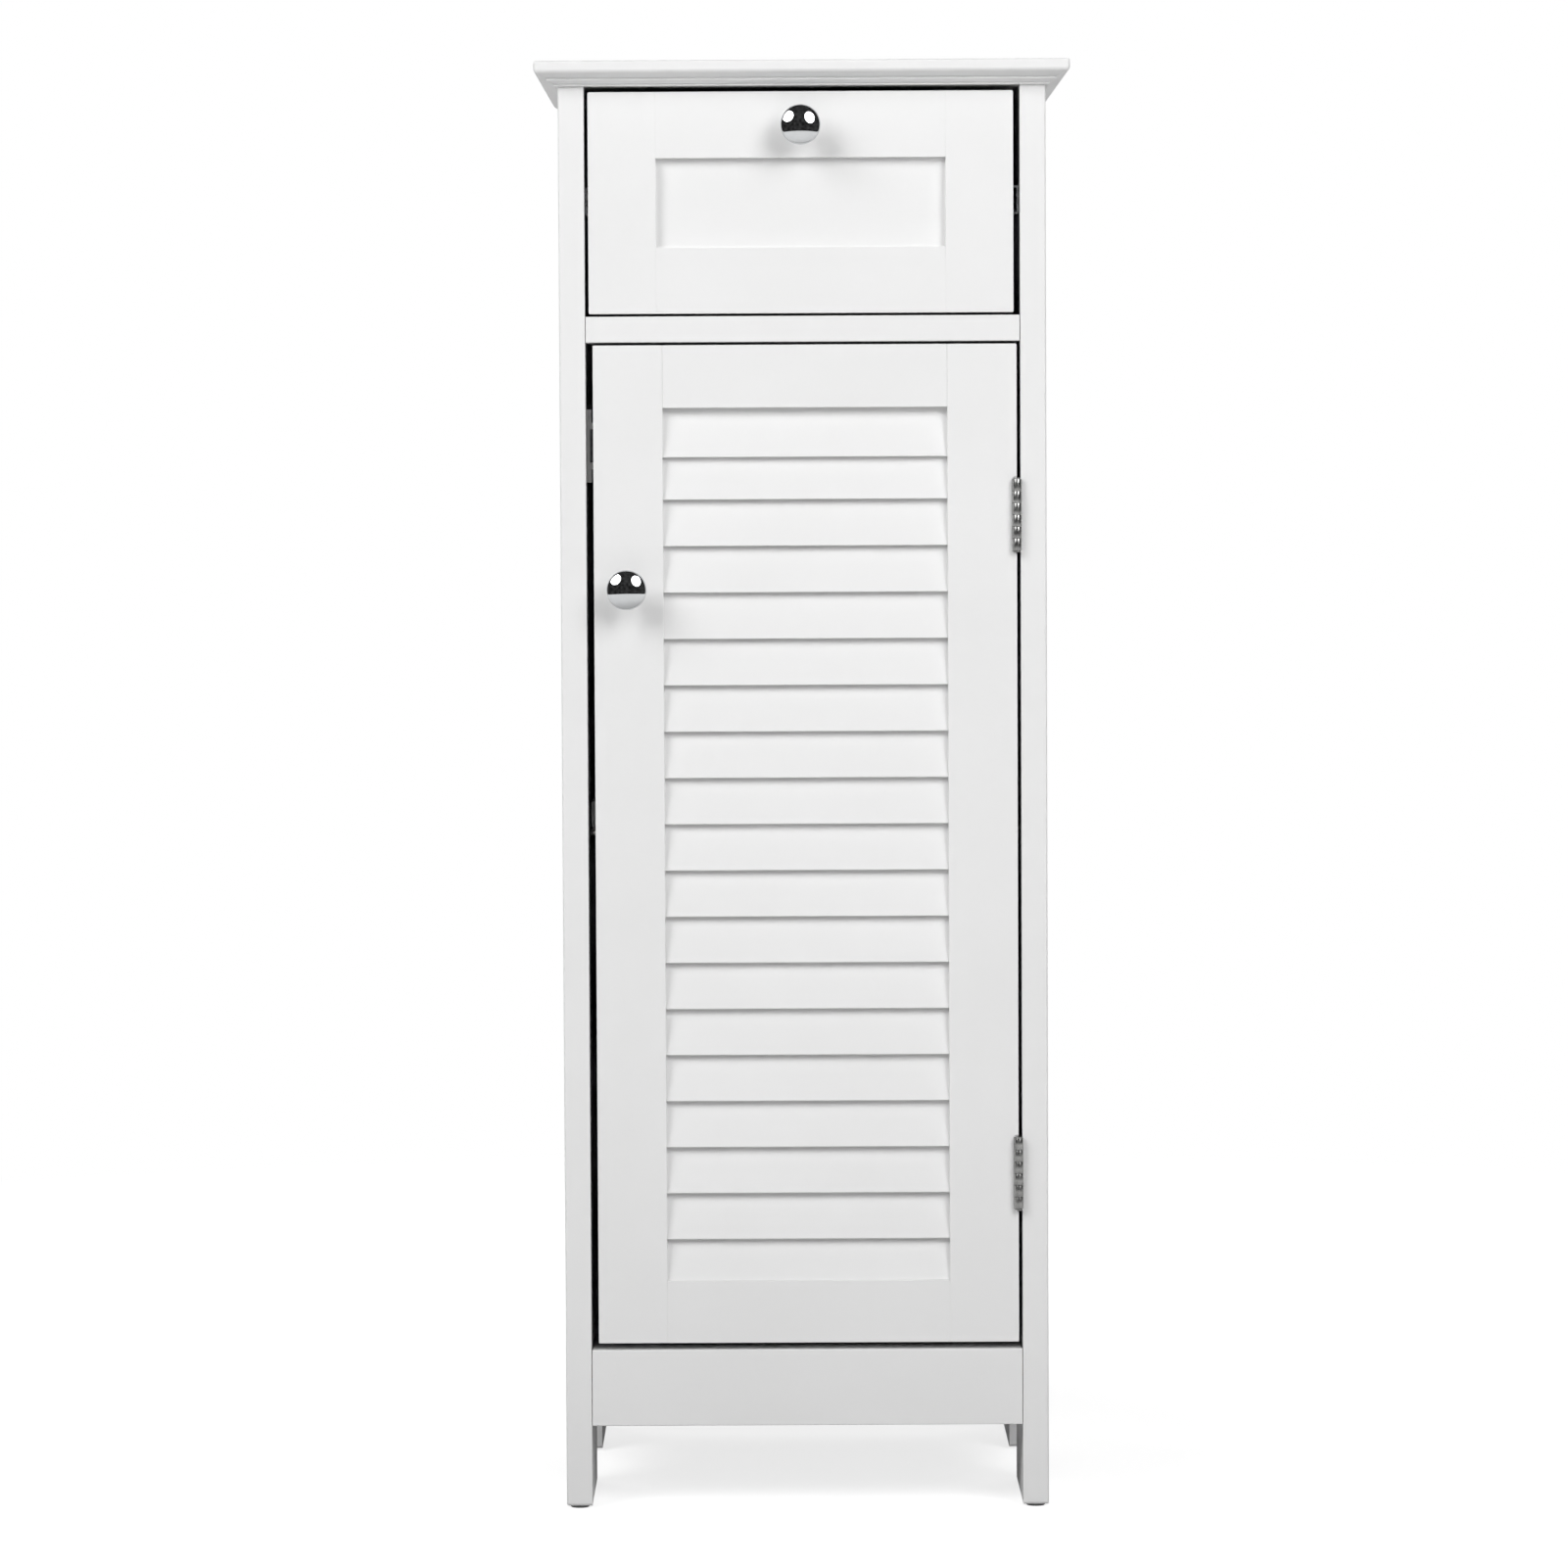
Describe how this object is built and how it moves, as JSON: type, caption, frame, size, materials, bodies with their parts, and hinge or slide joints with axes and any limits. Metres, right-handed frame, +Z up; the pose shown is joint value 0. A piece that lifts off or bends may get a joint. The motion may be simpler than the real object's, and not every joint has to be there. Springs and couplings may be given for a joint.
{
  "type": "louvred door cabinet",
  "caption": "Tall narrow floor cabinet in white lacquer: a framed drawer over a louvred door on butt hinges, an adjustable shelf, a moulded top and legs cut from the sides.",
  "frame": {"origin": "on the floor, under the centre of the whole outline, knobs included", "axes": "+Z up, +X to the right seen from the front, front faces -Y"},
  "size_m": [0.32, 0.308, 0.872],
  "materials": {
    "white_lacquer": "satin white lacquer on fibreboard",
    "white_hardboard": "white-faced hardboard, matt",
    "knob_chrome": "polished",
    "hinge_nickel": "nickel plated",
    "screw_steel": "zinc plated",
    "slide_steel": "bright zinc plated, rolled",
    "cage_steel": "pressed steel",
    "ball_steel": "polished",
    "cam_zinc": "die-cast zinc, unpolished",
    "pin_nickel": "nickel plated",
    "strike_steel": "zinc plated",
    "beech": "bare beech",
    "glide_plastic": "matt",
    "catch_plastic": "satin",
    "magnet_ferrite": "matt ferrite"
  },
  "bodies": {
    "carcass": {"top_panel": "white_lacquer", "side_panel_left": "white_lacquer", "side_panel_right": "white_lacquer", "divider_panel": "white_lacquer", "bottom_panel": "white_lacquer", "front_apron": "white_lacquer", "rear_rail": "white_lacquer", "back_panel": "white_hardboard", "shelf": "white_lacquer", "shelf_pins": "pin_nickel", "cam_bolts": "screw_steel", "cam_locks": "cam_zinc", "carcass_dowels": "beech", "foot_glides": "glide_plastic", "catch_case": "catch_plastic", "catch_magnet": "magnet_ferrite", "catch_screws": "screw_steel", "slide_outer_left": "slide_steel", "slide_outer_right": "slide_steel", "slide_outer_screws": "screw_steel", "hinge_frame_leaf_upper": "hinge_nickel", "hinge_frame_leaf_lower": "hinge_nickel", "hinge_pin_upper": "hinge_nickel", "hinge_pin_lower": "hinge_nickel", "hinge_frame_screws": "screw_steel"},
    "door": {"door_stile_left": "white_lacquer", "door_stile_right": "white_lacquer", "door_rail_top": "white_lacquer", "door_rail_bottom": "white_lacquer", "louvre_slats": "white_lacquer", "door_knob": "knob_chrome", "door_knob_screw": "screw_steel", "hinge_door_leaf_upper": "hinge_nickel", "hinge_door_leaf_lower": "hinge_nickel", "hinge_door_screws": "screw_steel", "strike_plate": "strike_steel", "strike_screw": "screw_steel"},
    "drawer": {"drawer_stile_left": "white_lacquer", "drawer_stile_right": "white_lacquer", "drawer_rail_top": "white_lacquer", "drawer_rail_bottom": "white_lacquer", "drawer_panel": "white_lacquer", "drawer_side_left": "white_lacquer", "drawer_side_right": "white_lacquer", "drawer_back": "white_lacquer", "drawer_bottom": "white_hardboard", "drawer_knob": "knob_chrome", "drawer_knob_screw": "screw_steel", "drawer_cam_bolts": "screw_steel", "drawer_cam_locks": "cam_zinc", "drawer_dowels": "beech", "drawer_back_screws": "screw_steel", "slide_inner_left": "slide_steel", "slide_inner_right": "slide_steel", "slide_inner_screws": "screw_steel"},
    "slide_cage_left": {"slide_cage_left": "cage_steel", "slide_balls_left": "ball_steel"},
    "slide_cage_right": {"slide_cage_right": "cage_steel", "slide_balls_right": "ball_steel"}
  },
  "joints": [
    {"name": "door_hinge", "type": "hinge", "parent": "carcass", "child": "door", "pos_m": [0.12813, -0.134, 0.4], "axis": [0, 0, 1], "range_deg": [0, 170]},
    {"name": "drawer_slide", "type": "slide", "parent": "carcass", "child": "drawer", "axis": [0, -1, 0], "range_m": [0, 0.175]},
    {"name": "slide_cage_left_slide", "type": "slide", "parent": "carcass", "child": "slide_cage_left", "axis": [0, -1, 0], "range_m": [0, 0.0875]},
    {"name": "slide_cage_right_slide", "type": "slide", "parent": "carcass", "child": "slide_cage_right", "axis": [0, -1, 0], "range_m": [0, 0.0875]}
  ],
  "couplings": [
    {"joint": "slide_cage_left_slide", "follows": "drawer_slide", "ratio": 0.5},
    {"joint": "slide_cage_right_slide", "follows": "drawer_slide", "ratio": 0.5}
  ]
}
